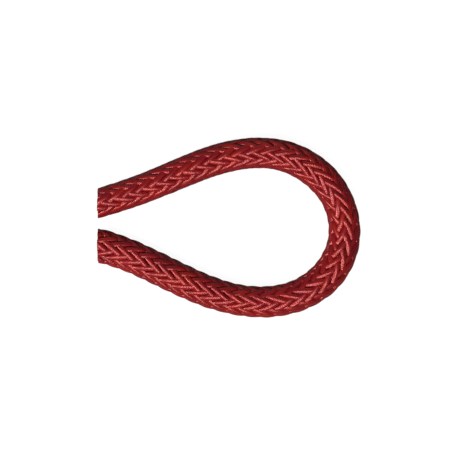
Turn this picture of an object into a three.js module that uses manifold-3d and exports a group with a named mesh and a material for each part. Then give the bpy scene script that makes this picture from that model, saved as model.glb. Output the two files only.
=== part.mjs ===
import * as THREE from 'three';
import { mergeVertices } from 'three/addons/utils/BufferGeometryUtils.js';
import Module from 'manifold-3d';

// A soft eye in a braided rope, lying flat on the ground. The cover is a braid of two sets of strands, one set
// winding left and one winding right, each strand going over two and under two of the other set, round a core.
// Millimetres, +Z up. The eye's crown points to +X, its two legs run to -X and end in one square cut.

// Driving dimensions.
const ropeDiameter = 12;
const layLength = 67.4;
const strandThickness = 0.9;
const strandClearance = 0.55;
const coreClearance = 0.5;
const groundFlat = 0.55;
const legEnd = -50.7;
const cutOverrun = 40;

// Counts. In one turn a strand meets each strand of the other set twice.
const strandsPerSet = 12;
const crossingsPerTurn = 2 * strandsPerSet;
const crossingsPerWeave = 4;
const coreSides = 12;
const coreSteps = 48;

// How a strand lies, in crossings. On top it floats, leaning less than the braid does as a whole, and it makes up
// for that where it is underneath. Both reaches are counted from the middle of the float: to where the strand
// starts to dive, and to where it is under the others.
const floatLean = 0.58;
const floatReach = 1.35;
const diveReach = 1.66;
const strandHalfWidth = 0.36;
const startShare = 0.445;

// The width of a strand's outer face as a share of the strand's width.
const outerFaceShare = 0.62;

// Where the braid starts about the axis, measured from straight up, and how far the lie of the rope has turned
// it to the outside of the eye by the end of the route.
const startAngle = THREE.MathUtils.degToRad(13.5);
const lieTurn = THREE.MathUtils.degToRad(15);

// The route of the rope's axis in plan, from past the end of the upper leg round the crown to past the end of
// the lower leg. The axis is drawn smoothly towards these points, so round the crown they lie a little outside.
const route = [
  [-63.3, 6.1], [-53.8, 8.5], [-44.4, 11.2], [-35.1, 14.3], [-26.1, 17.9], [-17.2, 21.7], [-8.2, 25.3],
  [1.1, 28.0], [10.7, 29.2], [20.4, 28.4], [29.4, 24.7], [37.2, 18.6], [42.7, 10.4], [45.2, 0.9],
  [44.2, -8.8], [39.6, -17.6], [32.2, -24.1], [23.2, -27.9], [13.5, -29.1], [3.8, -28.3], [-5.6, -25.8],
  [-14.6, -22.2], [-23.3, -18.0], [-32.0, -13.7], [-40.6, -9.9], [-49.3, -7.1], [-57.8, -5.6], [-66.4, -5.1],
];

// The rope's width in plan at each point of the route, as shares of its diameter: slimmer on the upper leg,
// fuller round the lower half of the crown and at the end of the lower leg.
const widthShares = [
  0.92, 0.92, 0.93, 0.94, 0.95, 0.97, 0.98,
  0.99, 0.97, 0.98, 1.02, 1.02, 0.98, 1.0,
  1.04, 1.08, 1.04, 1.0, 1.0, 0.98, 1.01,
  1.03, 1.04, 1.03, 1.05, 1.09, 1.1, 1.1,
];

// Radii of the layers, from the outside in.
const outerFace = ropeDiameter / 2;
const outerBack = outerFace - strandThickness;
const innerFace = outerBack - strandClearance;
const innerBack = innerFace - strandThickness;
const coreRadius = innerBack - coreClearance;
const axisHeight = outerFace - groundFlat;

// A cubic B-spline in plan, at the height of the rope's axis. The width share rides on the same weights.
class RopeAxis extends THREE.Curve {
  weigh(t, values) {
    const spans = values.length - 3;
    const first = Math.min(Math.floor(t * spans), spans - 1);
    const x = t * spans - first;
    const weights = [(1 - x) ** 3, 3 * x ** 3 - 6 * x ** 2 + 4, 3 * (x + x ** 2 - x ** 3) + 1, x ** 3];
    return weights.reduce((sum, weight, i) => sum + weight * values[first + i], 0) / 6;
  }

  getPoint(t, target = new THREE.Vector3()) {
    return target.set(
      this.weigh(t, route.map((point) => point[0])),
      this.weigh(t, route.map((point) => point[1])),
      axisHeight);
  }

  getWidthShare(t) {
    return this.weigh(t, widthShares);
  }
}

const up = new THREE.Vector3(0, 0, 1);
const axis = new RopeAxis();
axis.arcLengthDivisions = 40 * route.length;
const axisLength = axis.getLength();

const crossingLength = layLength / crossingsPerTurn;
const crossingAngle = 2 * Math.PI / crossingsPerTurn;
const crossings = axisLength / crossingLength;

// A point of the rope: along is counted in crossings from the start of the route, and angle is measured about
// the rope's axis from straight up towards the inside of the eye. The ground, at z = 0, presses the underside
// flat.
function ropePoint(along, angle, radius) {
  const u = THREE.MathUtils.clamp(along / crossings, 0, 1);
  const t = axis.getUtoTmapping(u);
  const tangent = axis.getTangent(t);
  const inward = new THREE.Vector3().crossVectors(tangent, up);
  const beyond = (along - u * crossings) * crossingLength;
  const turned = angle - lieTurn * u;
  const point = axis.getPoint(t)
    .addScaledVector(tangent, beyond)
    .addScaledVector(inward, radius * axis.getWidthShare(t) * Math.sin(turned))
    .addScaledVector(up, radius * Math.cos(turned));
  point.z = Math.max(point.z, 0);
  return point;
}

// A closed body through a row of rings that all have the same number of points.
function loft(rings) {
  const sides = rings[0].length;
  const last = (rings.length - 1) * sides;
  const faces = [];
  for (let ring = 0; ring < last; ring += sides) {
    for (let side = 0; side < sides; side += 1) {
      const here = ring + side;
      const next = ring + (side + 1) % sides;
      faces.push(here, next + sides, next, here, here + sides, next + sides);
    }
  }
  for (let side = 1; side < sides - 1; side += 1) {
    faces.push(0, side, side + 1, last, last + side + 1, last + side);
  }
  const geometry = new THREE.BufferGeometry();
  const places = rings.flat().flatMap((point) => point.toArray());
  geometry.setAttribute('position', new THREE.Float32BufferAttribute(places, 3));
  geometry.setIndex(faces);
  return geometry;
}

const wasm = await Module();
wasm.setup();

function toSolid(geometry) {
  const bare = geometry.clone();
  bare.deleteAttribute('normal');
  bare.deleteAttribute('uv');
  const merged = mergeVertices(bare);
  return new wasm.Manifold(new wasm.Mesh({
    numProp: 3,
    vertProperties: new Float32Array(merged.attributes.position.array),
    triVerts: new Uint32Array(merged.index.array),
  }));
}

function toGeometry(solid) {
  const mesh = solid.getMesh();
  const geometry = new THREE.BufferGeometry();
  geometry.setAttribute('position', new THREE.BufferAttribute(new Float32Array(mesh.vertProperties), 3));
  geometry.setIndex(new THREE.BufferAttribute(new Uint32Array(mesh.triVerts), 1));
  geometry.computeVertexNormals();
  return geometry;
}

// Everything past the ends of the legs, which the square cut takes away.
const plan = new THREE.Box3().setFromPoints(axis.getPoints(route.length));
const waste = new THREE.BoxGeometry(
  cutOverrun, plan.max.y - plan.min.y + 2 * cutOverrun, ropeDiameter + 2 * cutOverrun);
waste.translate(legEnd - cutOverrun / 2, (plan.max.y + plan.min.y) / 2, axisHeight);
const wasteSolid = toSolid(waste);

function cutSquare(geometry) {
  return toGeometry(toSolid(geometry).subtract(wasteSolid));
}

// One strand of the braid. Winding is 1 for the left set and -1 for the right set. Its rings lie along the floats
// that it crosses, so each dive falls in the gap beside one of them.
function strandGeometry(winding, number) {
  const firstFloat = (winding > 0 ? 1 / 2 : 3 / 2) + 2 * number;
  const firstWeave = -Math.ceil((firstFloat + 1) / crossingsPerWeave);
  const lastWeave = Math.ceil((crossings - firstFloat + 1) / crossingsPerWeave);
  const start = startAngle + 2 * crossingAngle * number;
  const rings = [];

  function addRing(float, reach, face, back) {
    const corner = (offset, radius) => ropePoint(
      float + reach + winding * offset + startShare,
      start + crossingAngle * (winding * (float + floatLean * reach) - floatLean * offset),
      radius);
    rings.push([
      corner(-strandHalfWidth * outerFaceShare, face),
      corner(strandHalfWidth * outerFaceShare, face),
      corner(strandHalfWidth, back),
      corner(-strandHalfWidth, back),
    ]);
  }

  for (let weave = firstWeave; weave <= lastWeave; weave += 1) {
    const float = firstFloat + crossingsPerWeave * weave;
    addRing(float, -diveReach, innerFace, innerBack);
    addRing(float, -floatReach, outerFace, outerBack);
    addRing(float, 0, outerFace, outerBack);
    addRing(float, floatReach, outerFace, outerBack);
    addRing(float, diveReach, innerFace, innerBack);
  }
  return cutSquare(loft(rings));
}

function coreGeometry() {
  const rings = [];
  for (let step = 0; step <= coreSteps; step += 1) {
    const ring = [];
    for (let side = 0; side < coreSides; side += 1) {
      ring.push(ropePoint(crossings * step / coreSteps, -2 * Math.PI * side / coreSides, coreRadius));
    }
    rings.push(ring);
  }
  return cutSquare(loft(rings));
}

const coverRed = new THREE.MeshStandardMaterial({ color: 0x9c1a20, roughness: 0.45, metalness: 0 });
const coreRed = new THREE.MeshStandardMaterial({ color: 0x7a2024, roughness: 0.7, metalness: 0 });

const eye = new THREE.Group();

function addPiece(name, geometry, material) {
  const mesh = new THREE.Mesh(geometry, material);
  mesh.name = name;
  eye.add(mesh);
}

addPiece('core', coreGeometry(), coreRed);
for (let number = 0; number < strandsPerSet; number += 1) {
  const label = String(number + 1).padStart(2, '0');
  addPiece(`left_strand_${label}`, strandGeometry(1, number), coverRed);
  addPiece(`right_strand_${label}`, strandGeometry(-1, number), coverRed);
}

export default eye;
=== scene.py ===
# %% [markdown]
# A soft eye in braided rope
#
# The object is a length of round red rope, laid on a table in a teardrop loop. Its two legs come together
# at the left and end in one square cut. This script dresses the solids of the part as real rope:
# twenty-four plump yarn strands, braided two over and two under round a core of straight yarns.
#
# The part is loaded first. Its solids are the frame that every new piece has to fit.

# %% Load the frame
import math
import bpy
import numpy as np
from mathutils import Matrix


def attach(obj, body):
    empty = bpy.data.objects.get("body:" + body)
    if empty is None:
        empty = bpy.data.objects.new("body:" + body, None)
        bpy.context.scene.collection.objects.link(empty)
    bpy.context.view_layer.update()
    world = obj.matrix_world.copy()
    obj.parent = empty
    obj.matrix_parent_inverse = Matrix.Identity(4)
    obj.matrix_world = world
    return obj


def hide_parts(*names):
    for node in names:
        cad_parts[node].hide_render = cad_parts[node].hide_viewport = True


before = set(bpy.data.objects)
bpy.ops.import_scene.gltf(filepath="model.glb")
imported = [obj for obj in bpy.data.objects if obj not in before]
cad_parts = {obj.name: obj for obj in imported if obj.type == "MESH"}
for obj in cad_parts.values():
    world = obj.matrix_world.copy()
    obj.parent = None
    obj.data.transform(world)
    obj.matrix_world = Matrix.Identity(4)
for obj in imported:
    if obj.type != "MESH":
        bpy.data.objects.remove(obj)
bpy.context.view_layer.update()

# %% [markdown]
# The sizes come before anything else. They are the rope's own: how thick it is, how far one strand
# travels for a full turn round the rope (its lay), and where the square cut is. The braid is counted in
# crossings: in one turn a strand meets each strand of the other set twice, and its weave, two over and
# two under, repeats every four. Lengths are in metres, so a millimetre is a value of its own.

# %% Sizes of the rope
MM = 0.001
rope_diameter = 12 * MM
lay_length = 67.4 * MM
ground_flat = 0.55 * MM
leg_end = -50.7 * MM
axis_height = rope_diameter / 2 - ground_flat
strands_per_set = 12
crossings_per_turn = 2 * strands_per_set
crossings_per_weave = 4
crossing_length = lay_length / crossings_per_turn
crossing_angle = 2 * math.pi / crossings_per_turn
print("one crossing is", round(crossing_length / MM, 3), "mm along the rope")

# %% [markdown]
# The camera comes next, because everything is judged through it. It looks straight down at the loop, as
# whoever photographed it did. A long lens from well above keeps the perspective gentle, so the rope's top
# and its outline stay in step.

# %% Camera
picture_width = 177.3 * MM
picture_middle = -0.58 * MM
lens_mm, sensor_mm = 135, 36
camera_data = bpy.data.cameras.new("overhead_camera")
camera_data.lens = lens_mm
camera_data.sensor_width = sensor_mm
camera = bpy.data.objects.new("overhead_camera", camera_data)
bpy.context.scene.collection.objects.link(camera)
camera.location = (0, picture_middle, axis_height + picture_width * lens_mm / sensor_mm)
bpy.context.scene.camera = camera
print("camera", round(camera.location.z, 3), "m above the table")

# %% [markdown]
# A rope has no edges or corners to start from, only the line that its middle follows. Here that line is
# drawn as a smooth curve that is pulled towards a row of points, from the cut end of the upper leg, round
# the crown of the eye, to the cut end of the lower leg. The same weights carry the rope's width, which is
# a little slimmer on the upper leg and fuller where the rope is bent.

# %% The line that the rope follows
route = MM * np.array([
    [-63.3, 6.1], [-53.8, 8.5], [-44.4, 11.2], [-35.1, 14.3], [-26.1, 17.9], [-17.2, 21.7], [-8.2, 25.3],
    [1.1, 28.0], [10.7, 29.2], [20.4, 28.4], [29.4, 24.7], [37.2, 18.6], [42.7, 10.4], [45.2, 0.9],
    [44.2, -8.8], [39.6, -17.6], [32.2, -24.1], [23.2, -27.9], [13.5, -29.1], [3.8, -28.3], [-5.6, -25.8],
    [-14.6, -22.2], [-23.3, -18.0], [-32.0, -13.7], [-40.6, -9.9], [-49.3, -7.1], [-57.8, -5.6],
    [-66.4, -5.1],
])
width_shares = np.array([[
    0.92, 0.92, 0.93, 0.94, 0.95, 0.97, 0.98,
    0.99, 0.97, 0.98, 1.02, 1.02, 0.98, 1.0,
    1.04, 1.08, 1.04, 1.0, 1.0, 0.98, 1.01,
    1.03, 1.04, 1.03, 1.05, 1.09, 1.1, 1.1,
]]).T


def smooth_row(values, t, slope=False):
    """A cubic B-spline over the rows of values, or its slope, at t from 0 to 1."""
    spans = len(values) - 3
    first = np.minimum((t * spans).astype(int), spans - 1)
    x = t * spans - first
    if slope:
        weights = [-(1 - x) ** 2 / 2, 1.5 * x**2 - 2 * x, 0.5 + x - 1.5 * x**2, x**2 / 2]
    else:
        weights = [(1 - x) ** 3 / 6, x**3 / 2 - x**2 + 2 / 3,
                   (x + x**2 - x**3) / 2 + 1 / 6, x**3 / 6]
    return sum(w[..., None] * values[first + i] for i, w in enumerate(weights))


knots_per_point = 40
knots = np.linspace(0, 1, knots_per_point * len(route) + 1)
steps = np.linalg.norm(np.diff(smooth_row(route, knots), axis=0), axis=1)
distance = np.concatenate([[0], np.cumsum(steps)])
axis_length = distance[-1]
crossings = axis_length / crossing_length
print("the line is", round(axis_length / MM, 1), "mm long,", round(crossings, 1), "crossings")

# %% [markdown]
# Every point of the rope can now be named by three numbers: how far along it is, counted in crossings, at
# what angle it sits about the rope's middle, and how far out. The angle starts straight up and turns
# towards the inside of the eye. The table stops the rope from below, which presses its underside flat. A
# real rope settles softly, so the floor is met in a small rounded corner and not in a crease.

# %% From braid to space
start_share = 0.445
start_angle = math.radians(13.5)
lie_turn = math.radians(15)
soft_corner = 0.12 * MM


def rope_point(along, angle, radius):
    """Points of the rope, where along is counted in crossings from the start of the line."""
    share = np.clip(along / crossings, 0, 1)
    t = np.interp(share * axis_length, distance, knots)
    middle = smooth_row(route, t)
    heading = smooth_row(route, t, slope=True)
    heading = heading / np.linalg.norm(heading, axis=-1, keepdims=True)
    inward = np.stack([heading[..., 1], -heading[..., 0]], axis=-1)
    width = smooth_row(width_shares, t)[..., 0]
    turned = angle - lie_turn * share
    beyond = (along - share * crossings) * crossing_length
    plan = middle + heading * beyond[..., None] + inward * (radius * width * np.sin(turned))[..., None]
    return np.concatenate([plan, (axis_height + radius * np.cos(turned))[..., None]], axis=-1)


def rest_on_table(points):
    """The same points, with what would be under the table pressed up to it."""
    z = points[..., 2]
    points[..., 2] = (z + np.sqrt(z**2 + soft_corner**2)) / 2
    return points


middle_points = 961
whole = np.linspace(0, crossings, middle_points)
middle_line = rope_point(whole, np.zeros_like(whole), np.zeros_like(whole))
middle_line = middle_line[middle_line[:, 0] >= leg_end]
rope_length = np.linalg.norm(np.diff(middle_line, axis=0), axis=1).sum()
print("rope from cut to cut:", round(rope_length / MM, 1), "mm")

# %% [markdown]
# One strand is a soft bundle of yarn, laid as a steady helix. It floats over two strands of the other
# set, then ducks under two. Its middle swings between an outer and an inner radius: a cosine beats once
# for every float, and a tanh squares it off, so the strand stays up for the whole float and ducks quickly
# at its ends. The section is two halves: a flat half ellipse for the belly that is pressed on the strands
# below, and a tall one for the top, drawn up by a power to the soft ridge of a yarn under tension. On a
# float it is plump and wide, nearly to the float's ends, and under the others it is squeezed thin. The
# two sets start a crossing apart, so where a strand of one set is up, the strand that it meets is down.
#
# No two floats of a real braid are quite alike, so each one is shifted, turned, raised and thickened by a
# small random amount. The numbers come from a fixed seed, so the rope is the same each time. A lofted
# tube can show all this, because its section can change from ring to ring.

# %% The path and section of one strand
over_radius, under_radius = 5.22 * MM, 3.85 * MM
dive_at, dive_sharpness = 1.65, 3
float_half_width, dive_half_width = 1.28 * MM, 0.98 * MM
float_crest, dive_crest = 0.96 * MM, 0.42 * MM
float_belly, dive_belly = 0.6 * MM, 0.4 * MM
ridge_power, fullness_power = 1.12, 0.5
chance = np.random.default_rng(24)
unevenness = {"along": 0.10, "angle": math.radians(1.0), "radius": 0.05 * MM, "plump": 0.08}
first_float = {1: 0.5, -1: 1.5}
overrun = 1.5
rings_per_crossing = 12
strand_sides = 20


def strand_middle(winding, number, along):
    """The middle of a strand, at places counted in crossings in the braid's own count."""
    from_float = along - first_float[winding] - 2 * number
    weaves = from_float / crossings_per_weave
    floats = np.arange(math.floor(weaves[0]), math.ceil(weaves[-1]) + 1)
    uneven = {name: np.interp(weaves, floats, most * chance.uniform(-1, 1, len(floats)))
              for name, most in unevenness.items()}
    weave_angle = 2 * math.pi / crossings_per_weave
    beat = np.cos(weave_angle * (from_float + uneven["along"]))
    swing = np.tanh(dive_sharpness * (beat - math.cos(weave_angle * dive_at)))
    mean_radius, half_swing = (over_radius + under_radius) / 2, (over_radius - under_radius) / 2
    radius = mean_radius + half_swing * swing + uneven["radius"]
    angle = start_angle + crossing_angle * (2 * number + winding * along) + uneven["angle"]
    return along + start_share, angle, radius, beat, 1 + uneven["plump"]


def strand_rings(winding, number):
    """Rings of points round one strand, with the length along the strand of each ring."""
    count = int((crossings + 2 * overrun) * rings_per_crossing)
    along = np.linspace(-overrun, crossings + overrun, count)
    place, angle, radius, beat, size = strand_middle(winding, number, along)
    middle = rope_point(place, angle, radius)
    outward = rope_point(place, angle, radius + MM) - middle
    forward = np.gradient(middle, axis=0)
    forward /= np.linalg.norm(forward, axis=1, keepdims=True)
    across = np.cross(forward, outward)
    across /= np.linalg.norm(across, axis=1, keepdims=True)
    outward = np.cross(across, forward)
    plump = ((1 + beat) / 2) ** fullness_power
    crest = dive_crest + (float_crest - dive_crest) * plump
    belly = dive_belly + (float_belly - dive_belly) * plump
    half_width = size * (dive_half_width + (float_half_width - dive_half_width) * plump)
    turn = 2 * math.pi * np.arange(strand_sides) / strand_sides
    side_share, up_share = np.cos(turn), np.sin(turn).round(9)
    power = np.where(up_share > 0, ridge_power, 1)
    tall = np.where(up_share > 0, crest[:, None], belly[:, None])
    sideways = half_width[:, None] * np.sign(side_share) * np.abs(side_share) ** power
    upward = tall * np.sign(up_share) * np.abs(up_share) ** power
    offsets = across[:, None] * sideways[..., None] + outward[:, None] * upward[..., None]
    rings = middle[:, None] + offsets
    length = np.concatenate([[0], np.cumsum(np.linalg.norm(np.diff(middle, axis=0), axis=1))])
    return rest_on_table(rings), length


rings, length = strand_rings(1, 0)
print("one strand:", len(rings), "rings of", strand_sides, "points,", round(length[-1] / MM), "mm long")

# %% [markdown]
# The rings are skinned with quads, and each quad gets a place on a map: the length along the strand in
# millimetres one way, and once round the strand the other way. The yarn's twist is painted on this map
# later. The tube runs past the cut and is then sliced there with the bisect tool, which also fills the
# cut with a face. That face gets the second material, for the ends of the fibres. Soft strands spring
# back a little when they are cut, each by its own hair's breadth. That also keeps the faces of two
# strands that press into each other out of one plane, where they would black each other out.

# %% Skin the rings and cut them square
weld_distance = 1e-7
cut_face_tolerance = 1e-6


def skin(name, tubes):
    """A mesh object from one or more tubes, each a pair of rings and lengths."""
    places, faces, maps = [], [], []
    for rings, length in tubes:
        first = sum(len(p) for p in places)
        count, sides = rings.shape[:2]
        places.append(rings.reshape(-1, 3))
        ring, side = np.meshgrid(np.arange(count - 1), np.arange(sides), indexing="ij")
        here, beside = first + ring * sides + side, first + ring * sides + (side + 1) % sides
        faces.append(np.stack([here, here + sides, beside + sides, beside], axis=-1).reshape(-1, 4))
        lower, upper = length[ring] / MM, length[ring + 1] / MM
        left, right = side / sides, (side + 1) / sides
        corners = [[lower, left], [upper, left], [upper, right], [lower, right]]
        maps.append(np.moveaxis(np.array(corners), (0, 1), (2, 3)).reshape(-1, 2))
    mesh = bpy.data.meshes.new(name)
    mesh.from_pydata(np.concatenate(places).tolist(), [], np.concatenate(faces).tolist())
    mesh.uv_layers.new(name="along_yarn").data.foreach_set("uv", np.concatenate(maps).ravel())
    mesh.polygons.foreach_set("use_smooth", np.ones(len(mesh.polygons), bool))
    piece = bpy.data.objects.new(name, mesh)
    bpy.context.scene.collection.objects.link(piece)
    return piece


def cut_square(piece, side_material, end_material, spring_back):
    """Slices the piece off at the legs' end and gives the new faces the end material."""
    cut_at = leg_end + spring_back
    for material in (side_material, end_material):
        piece.data.materials.append(material)
    bpy.ops.object.select_all(action="DESELECT")
    bpy.context.view_layer.objects.active = piece
    piece.select_set(True)
    bpy.ops.object.mode_set(mode="EDIT")
    bpy.ops.mesh.select_all(action="SELECT")
    bpy.ops.mesh.bisect(plane_co=(cut_at, 0, 0), plane_no=(-1, 0, 0), use_fill=True,
                        clear_outer=True, threshold=weld_distance)
    bpy.ops.object.mode_set(mode="OBJECT")
    for face in piece.data.polygons:
        if abs(face.center.x - cut_at) < cut_face_tolerance and face.normal.x < -0.99:
            face.material_index = 1
            face.use_smooth = False
    return piece


# %% [markdown]
# Now the whole braid. Both sets of strands are made from the same recipe, one winding left and one
# winding right, and each new strand stands for the thin ribbon of the same name in the part. Seven is
# coprime to the twenty-four strands, so stepping by it deals out a different spring back to each, and
# neighbours differ most.

# %% Braid the cover
cover_yarn = bpy.data.materials.new("cover_yarn")
cut_fibres = bpy.data.materials.new("cut_fibres")
hair = 0.01 * MM
hair_step = 7
strands = []
for number in range(strands_per_set):
    for side, winding in (("left", 1), ("right", -1)):
        tube = skin(f"{side}_yarn_{number + 1:02d}", [strand_rings(winding, number)])
        spring_back = hair * (hair_step * len(strands) % (2 * strands_per_set))
        strand = cut_square(tube, cover_yarn, cut_fibres, spring_back)
        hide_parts(f"{side}_strand_{number + 1:02d}")
        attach(strand, "root")
        strands.append(strand)
faces = sum(len(strand.data.polygons) for strand in strands)
print(len(strands), "strands with", faces, "faces")

# %% [markdown]
# Inside the braid lies the core, a bundle of nearly straight yarns that fills the cover out and carries
# much of the load. It shows only at the cut ends and as darkness between the strands. There is one yarn
# in the middle, six round it, and twelve round those. The cover squeezes the outer ones into blocks with
# rounded corners, so a section is drawn in polar steps: so far out and so far round, with a power that
# squares it off.

# %% The core bundle
core_radius = 4.0 * MM
core_yarn_radius = core_radius / 5
core_lay = 90 * MM
squareness, fullness = 0.6, 0.96
yarns_in_layer = (1, 6, 12)
core_yarn_sides = 14
core_rings_per_crossing = 2
core_yarn = bpy.data.materials.new("core_yarn")
side = -2 * math.pi * np.arange(core_yarn_sides) / core_yarn_sides
tubes = []
ring_count = int((crossings + 2 * overrun) * core_rings_per_crossing)
along = np.linspace(-overrun, crossings + overrun, ring_count)
for layer, count in enumerate(yarns_in_layer):
    for number in range(count):
        turn = 2 * math.pi * (number / count + along * crossing_length / core_lay)[:, None]
        if layer == 0:
            out, angle = np.full_like(turn + side, fullness * core_yarn_radius), turn + side
        else:
            out_share = np.sign(np.cos(side)) * np.abs(np.cos(side)) ** squareness
            round_share = np.sign(np.sin(side)) * np.abs(np.sin(side)) ** squareness
            out = core_yarn_radius * (2 * layer + fullness * out_share) + 0 * turn
            angle = turn + fullness * math.pi / count * round_share
        place = np.broadcast_to(along[:, None] + start_share, angle.shape)
        tubes.append((rope_point(place, angle, out), along * crossing_length))
core = cut_square(skin("core_bundle", tubes), core_yarn, cut_fibres, hair * len(strands))
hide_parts("core")
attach(core, "root")
print("core:", len(tubes), "yarns,", len(core.data.polygons), "faces")

# %% [markdown]
# The rope is one free cord: bare at both ends, where it was cut.

print("cord declared from", [round(v / MM, 1) for v in middle_line[0]])

# %% [markdown]
# Now the finishes. Each material is a small network of shader nodes, and the same few steps come up again
# and again: make a node, set what is fixed on it, and plug something into it. Four short helpers keep
# that readable: one makes a node, one plugs a value in, one makes a Math node and hands its result on,
# and one stretches a value over a new range.

# %% Helpers for shader nodes
def add_node(tree, kind, **settings):
    """A new node of this kind, with its settings made."""
    node = tree.nodes.new(kind)
    for name, value in settings.items():
        setattr(node, name, value)
    return node


def plug(tree, value, socket):
    """Links a socket, or writes a plain number or colour on it."""
    if isinstance(value, bpy.types.NodeSocket):
        tree.links.new(value, socket)
    else:
        socket.default_value = value


def reckon(tree, operation, *values):
    """The result of a Math node on some values."""
    node = add_node(tree, "ShaderNodeMath", operation=operation)
    for value, socket in zip(values, node.inputs):
        plug(tree, value, socket)
    return node.outputs[0]


def spread(tree, value, low, high, to_low=0.0, to_high=1.0):
    """Stretches the part of a value between low and high over a new range, and holds it at the ends."""
    node = add_node(tree, "ShaderNodeMapRange")
    for source, socket in zip((value, low, high, to_low, to_high), node.inputs):
        plug(tree, source, socket)
    return node.outputs[0]


# %% [markdown]
# Up close a strand is a bundle of hundreds of fine filaments, lightly twisted. That shows as streaks that
# run round the strand like the stripes of a barber's pole. Cover and core are both made of such yarn, so
# the effect is one node group, placed in each material with its own numbers.
#
# It reads the map on the strand: the length in millimetres and the way round. Length over pitch, added to
# the way round, is how far a filament has turned. A turn has to close on itself with no seam, so it is
# laid out as a circle with sine and cosine, and the noise is read on that circle. A large circle gives
# many fine filaments, and a small one gives the few soft ridges of the thicker yarns inside the strand.

# %% Node group: twisted filaments
filaments = bpy.data.node_groups.new("twisted_filaments", "ShaderNodeTree")
filaments.interface.new_socket("Place On Yarn", in_out="INPUT", socket_type="NodeSocketVector")
for title, start in (("Twist Pitch", 16.0), ("Filaments Round", 44.0), ("Yarns Round", 7.0)):
    socket = filaments.interface.new_socket(title, in_out="INPUT", socket_type="NodeSocketFloat")
    socket.default_value = start
for title in ("Streak", "Ridge", "Height"):
    filaments.interface.new_socket(title, in_out="OUTPUT", socket_type="NodeSocketFloat")

given = add_node(filaments, "NodeGroupInput").outputs
place = add_node(filaments, "ShaderNodeSeparateXYZ")
plug(filaments, given["Place On Yarn"], place.inputs[0])
turns = reckon(filaments, "ADD", place.outputs["Y"],
               reckon(filaments, "DIVIDE", place.outputs["X"], given["Twist Pitch"]))
angle = reckon(filaments, "MULTIPLY", turns, 2 * math.pi)
cosine, sine = reckon(filaments, "COSINE", angle), reckon(filaments, "SINE", angle)


def streaks(count, reach, detail):
    """Noise in streaks: so many round the strand, each about as long as the reach in millimetres."""
    radius = reckon(filaments, "DIVIDE", count, 2 * math.pi)
    spot = add_node(filaments, "ShaderNodeCombineXYZ")
    plug(filaments, reckon(filaments, "MULTIPLY", cosine, radius), spot.inputs[0])
    plug(filaments, reckon(filaments, "MULTIPLY", sine, radius), spot.inputs[1])
    plug(filaments, reckon(filaments, "DIVIDE", place.outputs["X"], reach), spot.inputs[2])
    noise = add_node(filaments, "ShaderNodeTexNoise")
    noise.inputs["Scale"].default_value = 1
    noise.inputs["Detail"].default_value = detail
    plug(filaments, spot.outputs[0], noise.inputs["Vector"])
    return noise.outputs[0]


streak_share, ridge_share = 0.35, 0.65
streak = spread(filaments, streaks(given["Filaments Round"], reach=5.0, detail=2.0), 0.32, 0.68)
ridge = spread(filaments, streaks(given["Yarns Round"], reach=9.0, detail=0.0), 0.3, 0.7)
height = reckon(filaments, "ADD", reckon(filaments, "MULTIPLY", streak, streak_share),
                reckon(filaments, "MULTIPLY", ridge, ridge_share))
results = add_node(filaments, "NodeGroupOutput")
for value, title in ((streak, "Streak"), (ridge, "Ridge"), (height, "Height")):
    plug(filaments, value, results.inputs[title])
print("twisted_filaments:", len(filaments.nodes), "nodes")

# %% [markdown]
# The cover is dyed filament yarn with a satin shine, deep red where the light is soft and coral where the
# lamp catches it. Light that glances off dyed filaments comes back partly coloured, so the highlight is
# tinted, with the shader's own specular tint. Where the filament streaks and the yarn ridges sink, the
# red is painted darker, as painted shade in those grooves, and between the filaments the surface is
# rougher.
# A slow noise on object coordinates shifts the dye a little from place to place, because no two strands
# take it up quite alike.

# %% Material: cover yarn
def bare_material(material):
    """Gives back the node tree and the main shader of a fresh material."""
    material.use_nodes = True
    return material.node_tree, material.node_tree.nodes["Principled BSDF"]


def mix_colours(tree, share, first, second):
    """The first colour where the share is 0, the second where it is 1."""
    node = add_node(tree, "ShaderNodeMix", data_type="RGBA")
    plug(tree, share, node.inputs["Factor"])
    for value, socket in zip((first, second), [s for s in node.inputs if s.type == "RGBA"]):
        plug(tree, value, socket)
    return [s for s in node.outputs if s.type == "RGBA"][0]


def object_noise(tree, size):
    """Noise on object coordinates, with features about as large as the size in millimetres."""
    place = add_node(tree, "ShaderNodeTexCoord").outputs["Object"]
    noise = add_node(tree, "ShaderNodeTexNoise")
    noise.inputs["Scale"].default_value = 1 / (size * MM)
    noise.inputs["Detail"].default_value = 2.0
    plug(tree, place, noise.inputs["Vector"])
    return noise.outputs[0]


def place_filaments(tree, twist_pitch, filaments_round, yarns_round):
    """The filament group on the piece's own map."""
    group = add_node(tree, "ShaderNodeGroup", node_tree=filaments)
    yarn_map = add_node(tree, "ShaderNodeUVMap", uv_map="along_yarn").outputs[0]
    plug(tree, yarn_map, group.inputs["Place On Yarn"])
    plug(tree, twist_pitch, group.inputs["Twist Pitch"])
    plug(tree, filaments_round, group.inputs["Filaments Round"])
    plug(tree, yarns_round, group.inputs["Yarns Round"])
    return group.outputs


def raise_bump(tree, shader, height, depth):
    """Feeds the shader's normal with a bump of so many millimetres."""
    bump = add_node(tree, "ShaderNodeBump")
    bump.inputs["Distance"].default_value = depth * MM
    plug(tree, height, bump.inputs["Height"])
    plug(tree, bump.outputs[0], shader.inputs["Normal"])


def average(tree, first, second):
    """The mean of two values."""
    halves = [reckon(tree, "MULTIPLY", value, 0.5) for value in (first, second)]
    return reckon(tree, "ADD", *halves)


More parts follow.
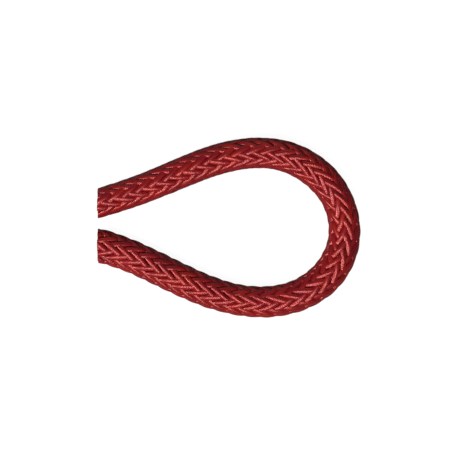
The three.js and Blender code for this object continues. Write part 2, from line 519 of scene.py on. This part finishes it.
tree, shader = bare_material(cover_yarn)
yarn = place_filaments(tree, twist_pitch=16.0, filaments_round=44.0, yarns_round=7.0)
dye = spread(tree, object_noise(tree, size=9.0), 0.35, 0.65)
# Painted shade: the red is darker where the filament streaks and yarn ridges are low, in the grooves;
# both reds also vary with the dye noise.
groove_shade_red = mix_colours(tree, dye, (0.098, 0.003, 0.007, 1), (0.120, 0.004, 0.005, 1))
clear_red = mix_colours(tree, dye, (0.222, 0.007, 0.010, 1), (0.263, 0.010, 0.008, 1))
red = mix_colours(tree, average(tree, yarn["Streak"], yarn["Ridge"]), groove_shade_red, clear_red)
plug(tree, red, shader.inputs["Base Color"])
between, on_filament = 0.32, 0.26
plug(tree, spread(tree, yarn["Streak"], 0, 1, between, on_filament), shader.inputs["Roughness"])
shader.inputs["Specular IOR Level"].default_value = 1.0
shader.inputs["Specular Tint"].default_value = (1.0, 0.33, 0.31, 1)
raise_bump(tree, shader, yarn["Height"], depth=0.003)
print("cover_yarn:", len(tree.nodes), "nodes")

# %% [markdown]
# The core's yarn is the same kind of yarn, straighter, duller and a little paler in its dye, as an inner
# yarn is that no one sees.

# %% Material: core yarn
tree, shader = bare_material(core_yarn)
yarn = place_filaments(tree, twist_pitch=30.0, filaments_round=30.0, yarns_round=5.0)
# Painted shade: the core's red is darker between the filaments, where the bump is low.
dull_red_with_groove_shade = mix_colours(tree, yarn["Streak"], (0.16, 0.015, 0.016, 1), (0.31, 0.037, 0.037, 1))
plug(tree, dull_red_with_groove_shade, shader.inputs["Base Color"])
plug(tree, spread(tree, yarn["Ridge"], 0, 1, 0.75, 0.6), shader.inputs["Roughness"])
shader.inputs["Specular IOR Level"].default_value = 0.3
raise_bump(tree, shader, yarn["Height"], depth=0.06)
print("core_yarn:", len(tree.nodes), "nodes")

# %% [markdown]
# Where the rope is cut, one looks at the ends of all the filaments at once: a dense field of tiny round
# dots, matte, with dark gaps between them. A Voronoi texture on object coordinates gives such dots. Its
# distance from each dot's middle raises each dot into a small dome in the bump, and paints shade into the
# gaps, darker towards each dot's edge.

# %% Material: cut fibres
dot_size = 0.13 * MM
tree, shader = bare_material(cut_fibres)
dots = add_node(tree, "ShaderNodeTexVoronoi")
dots.inputs["Scale"].default_value = 1 / dot_size
plug(tree, add_node(tree, "ShaderNodeTexCoord").outputs["Object"], dots.inputs["Vector"])
# Painted shade: the gaps between the fibre ends are painted dark, and each dot darkens towards its edge.
dot_dome_and_gap_shade = spread(tree, dots.outputs["Distance"], 0.15, 0.6, 1, 0)
tuft = spread(tree, object_noise(tree, size=0.8), 0.35, 0.65)
dot_red = mix_colours(tree, tuft, (0.3, 0.02, 0.022, 1), (0.41, 0.037, 0.037, 1))
plug(tree, mix_colours(tree, dot_dome_and_gap_shade, (0.16, 0.009, 0.011, 1), dot_red), shader.inputs["Base Color"])
plug(tree, spread(tree, tuft, 0, 1, 0.85, 0.7), shader.inputs["Roughness"])
shader.inputs["Specular IOR Level"].default_value = 0.25
raise_bump(tree, shader, average(tree, dot_dome_and_gap_shade, tuft), depth=0.05)
print("cut_fibres:", len(tree.nodes), "nodes")

# %% [markdown]
# The rope lies on a plain white table. To the camera the table has to be white without more light on the
# rope, so most of what a camera ray meets there is a plain glow, and the rest is real paint that takes
# the rope's soft shadow. Any other ray meets the paint alone, in a dark grey, so the table throws only a
# little light back up at the rope. The world behind it is white to the camera in the same way, and to the
# rope it is a faint cool fill, because the photograph's shadows lean towards purple.

# %% Floor and surroundings
table_width = 3
glow_strength, glow_share = 1.06, 0.9
fill_strength = 0.07
bpy.ops.mesh.primitive_plane_add(size=table_width, location=(0, 0, 0))
floor = bpy.context.object
floor.name = "table"
floor_paint = bpy.data.materials.new("white_table")
tree, shader = bare_material(floor_paint)
seen = add_node(tree, "ShaderNodeLightPath").outputs["Is Camera Ray"]
paint = mix_colours(tree, seen, (0.13, 0.13, 0.13, 1), (0.8, 0.8, 0.8, 1))
plug(tree, paint, shader.inputs["Base Color"])
shader.inputs["Roughness"].default_value = 0.9
shader.inputs["Specular IOR Level"].default_value = 0.0
glow = add_node(tree, "ShaderNodeEmission")
glow.inputs["Strength"].default_value = glow_strength
blend = add_node(tree, "ShaderNodeMixShader")
plug(tree, reckon(tree, "MULTIPLY", seen, glow_share), blend.inputs[0])
plug(tree, shader.outputs[0], blend.inputs[1])
plug(tree, glow.outputs[0], blend.inputs[2])
plug(tree, blend.outputs[0], tree.nodes["Material Output"].inputs["Surface"])
floor.data.materials.append(floor_paint)

world = bpy.data.worlds.new("studio")
bpy.context.scene.world = world
world.use_nodes = True
tree = world.node_tree
seen = add_node(tree, "ShaderNodeLightPath").outputs["Is Camera Ray"]
background = tree.nodes["Background"]
plug(tree, spread(tree, seen, 0, 1, fill_strength, 1), background.inputs["Strength"])
plug(tree, mix_colours(tree, seen, (0.86, 0.86, 1, 1), (1, 1, 1, 1)), background.inputs["Color"])
print("table", table_width, "m wide, world fill", fill_strength)

# %% [markdown]
# The photograph tells where its light came from. The rope's highlights are thin coral lines on the side
# of each strand towards the bottom of the picture, and they are thinnest on the strands that run across
# the picture. So the main lamp is a long narrow softbox behind the bottom edge, with its length across
# the picture. The strands on the far side of the rope carry such lines too, which a second lamp of the
# same kind draws from higher up. A small one on the left lights the strands that run up and down the
# picture at the crown, and throws the faint shadow to the right of it. A faint cool one behind the top
# edge keeps the rope's far side from going black.

# %% Lights
from mathutils import Matrix, Vector

lamp_distance = 1.1


def softbox(name, azimuth, height, size, power, roll=0, colour=(1, 1, 1)):
    """A rectangular lamp that faces the loop, its azimuth, height and roll in degrees."""
    lamp = bpy.data.lights.new(name, "AREA")
    lamp.color = colour
    lamp.shape = "RECTANGLE"
    lamp.size, lamp.size_y = size
    lamp.energy = power
    holder = bpy.data.objects.new(name, lamp)
    bpy.context.scene.collection.objects.link(holder)
    a, e = math.radians(azimuth), math.radians(height)
    towards = Vector((math.cos(a) * math.cos(e), math.sin(a) * math.cos(e), math.sin(e)))
    place = towards * lamp_distance
    facing = (-place).to_track_quat("-Z", "Y").to_matrix() @ Matrix.Rotation(math.radians(roll), 3, "Z")
    holder.matrix_world = Matrix.Translation(place) @ facing.to_4x4()
    print(name, [round(v, 2) for v in place])


softbox("front_softbox", azimuth=-104, height=50, size=(1.1, 0.1), power=9.2, roll=-18,
        colour=(1, 0.95, 0.88))
softbox("high_softbox", azimuth=-100, height=74, size=(1.1, 0.08), power=7.4, roll=-16)
softbox("left_softbox", azimuth=-162, height=34, size=(0.3, 0.3), power=7)
softbox("back_softbox", azimuth=88, height=20, size=(0.8, 0.5), power=0.9, colour=(0.9, 0.85, 1))
bpy.context.scene.view_settings.view_transform = "Standard"
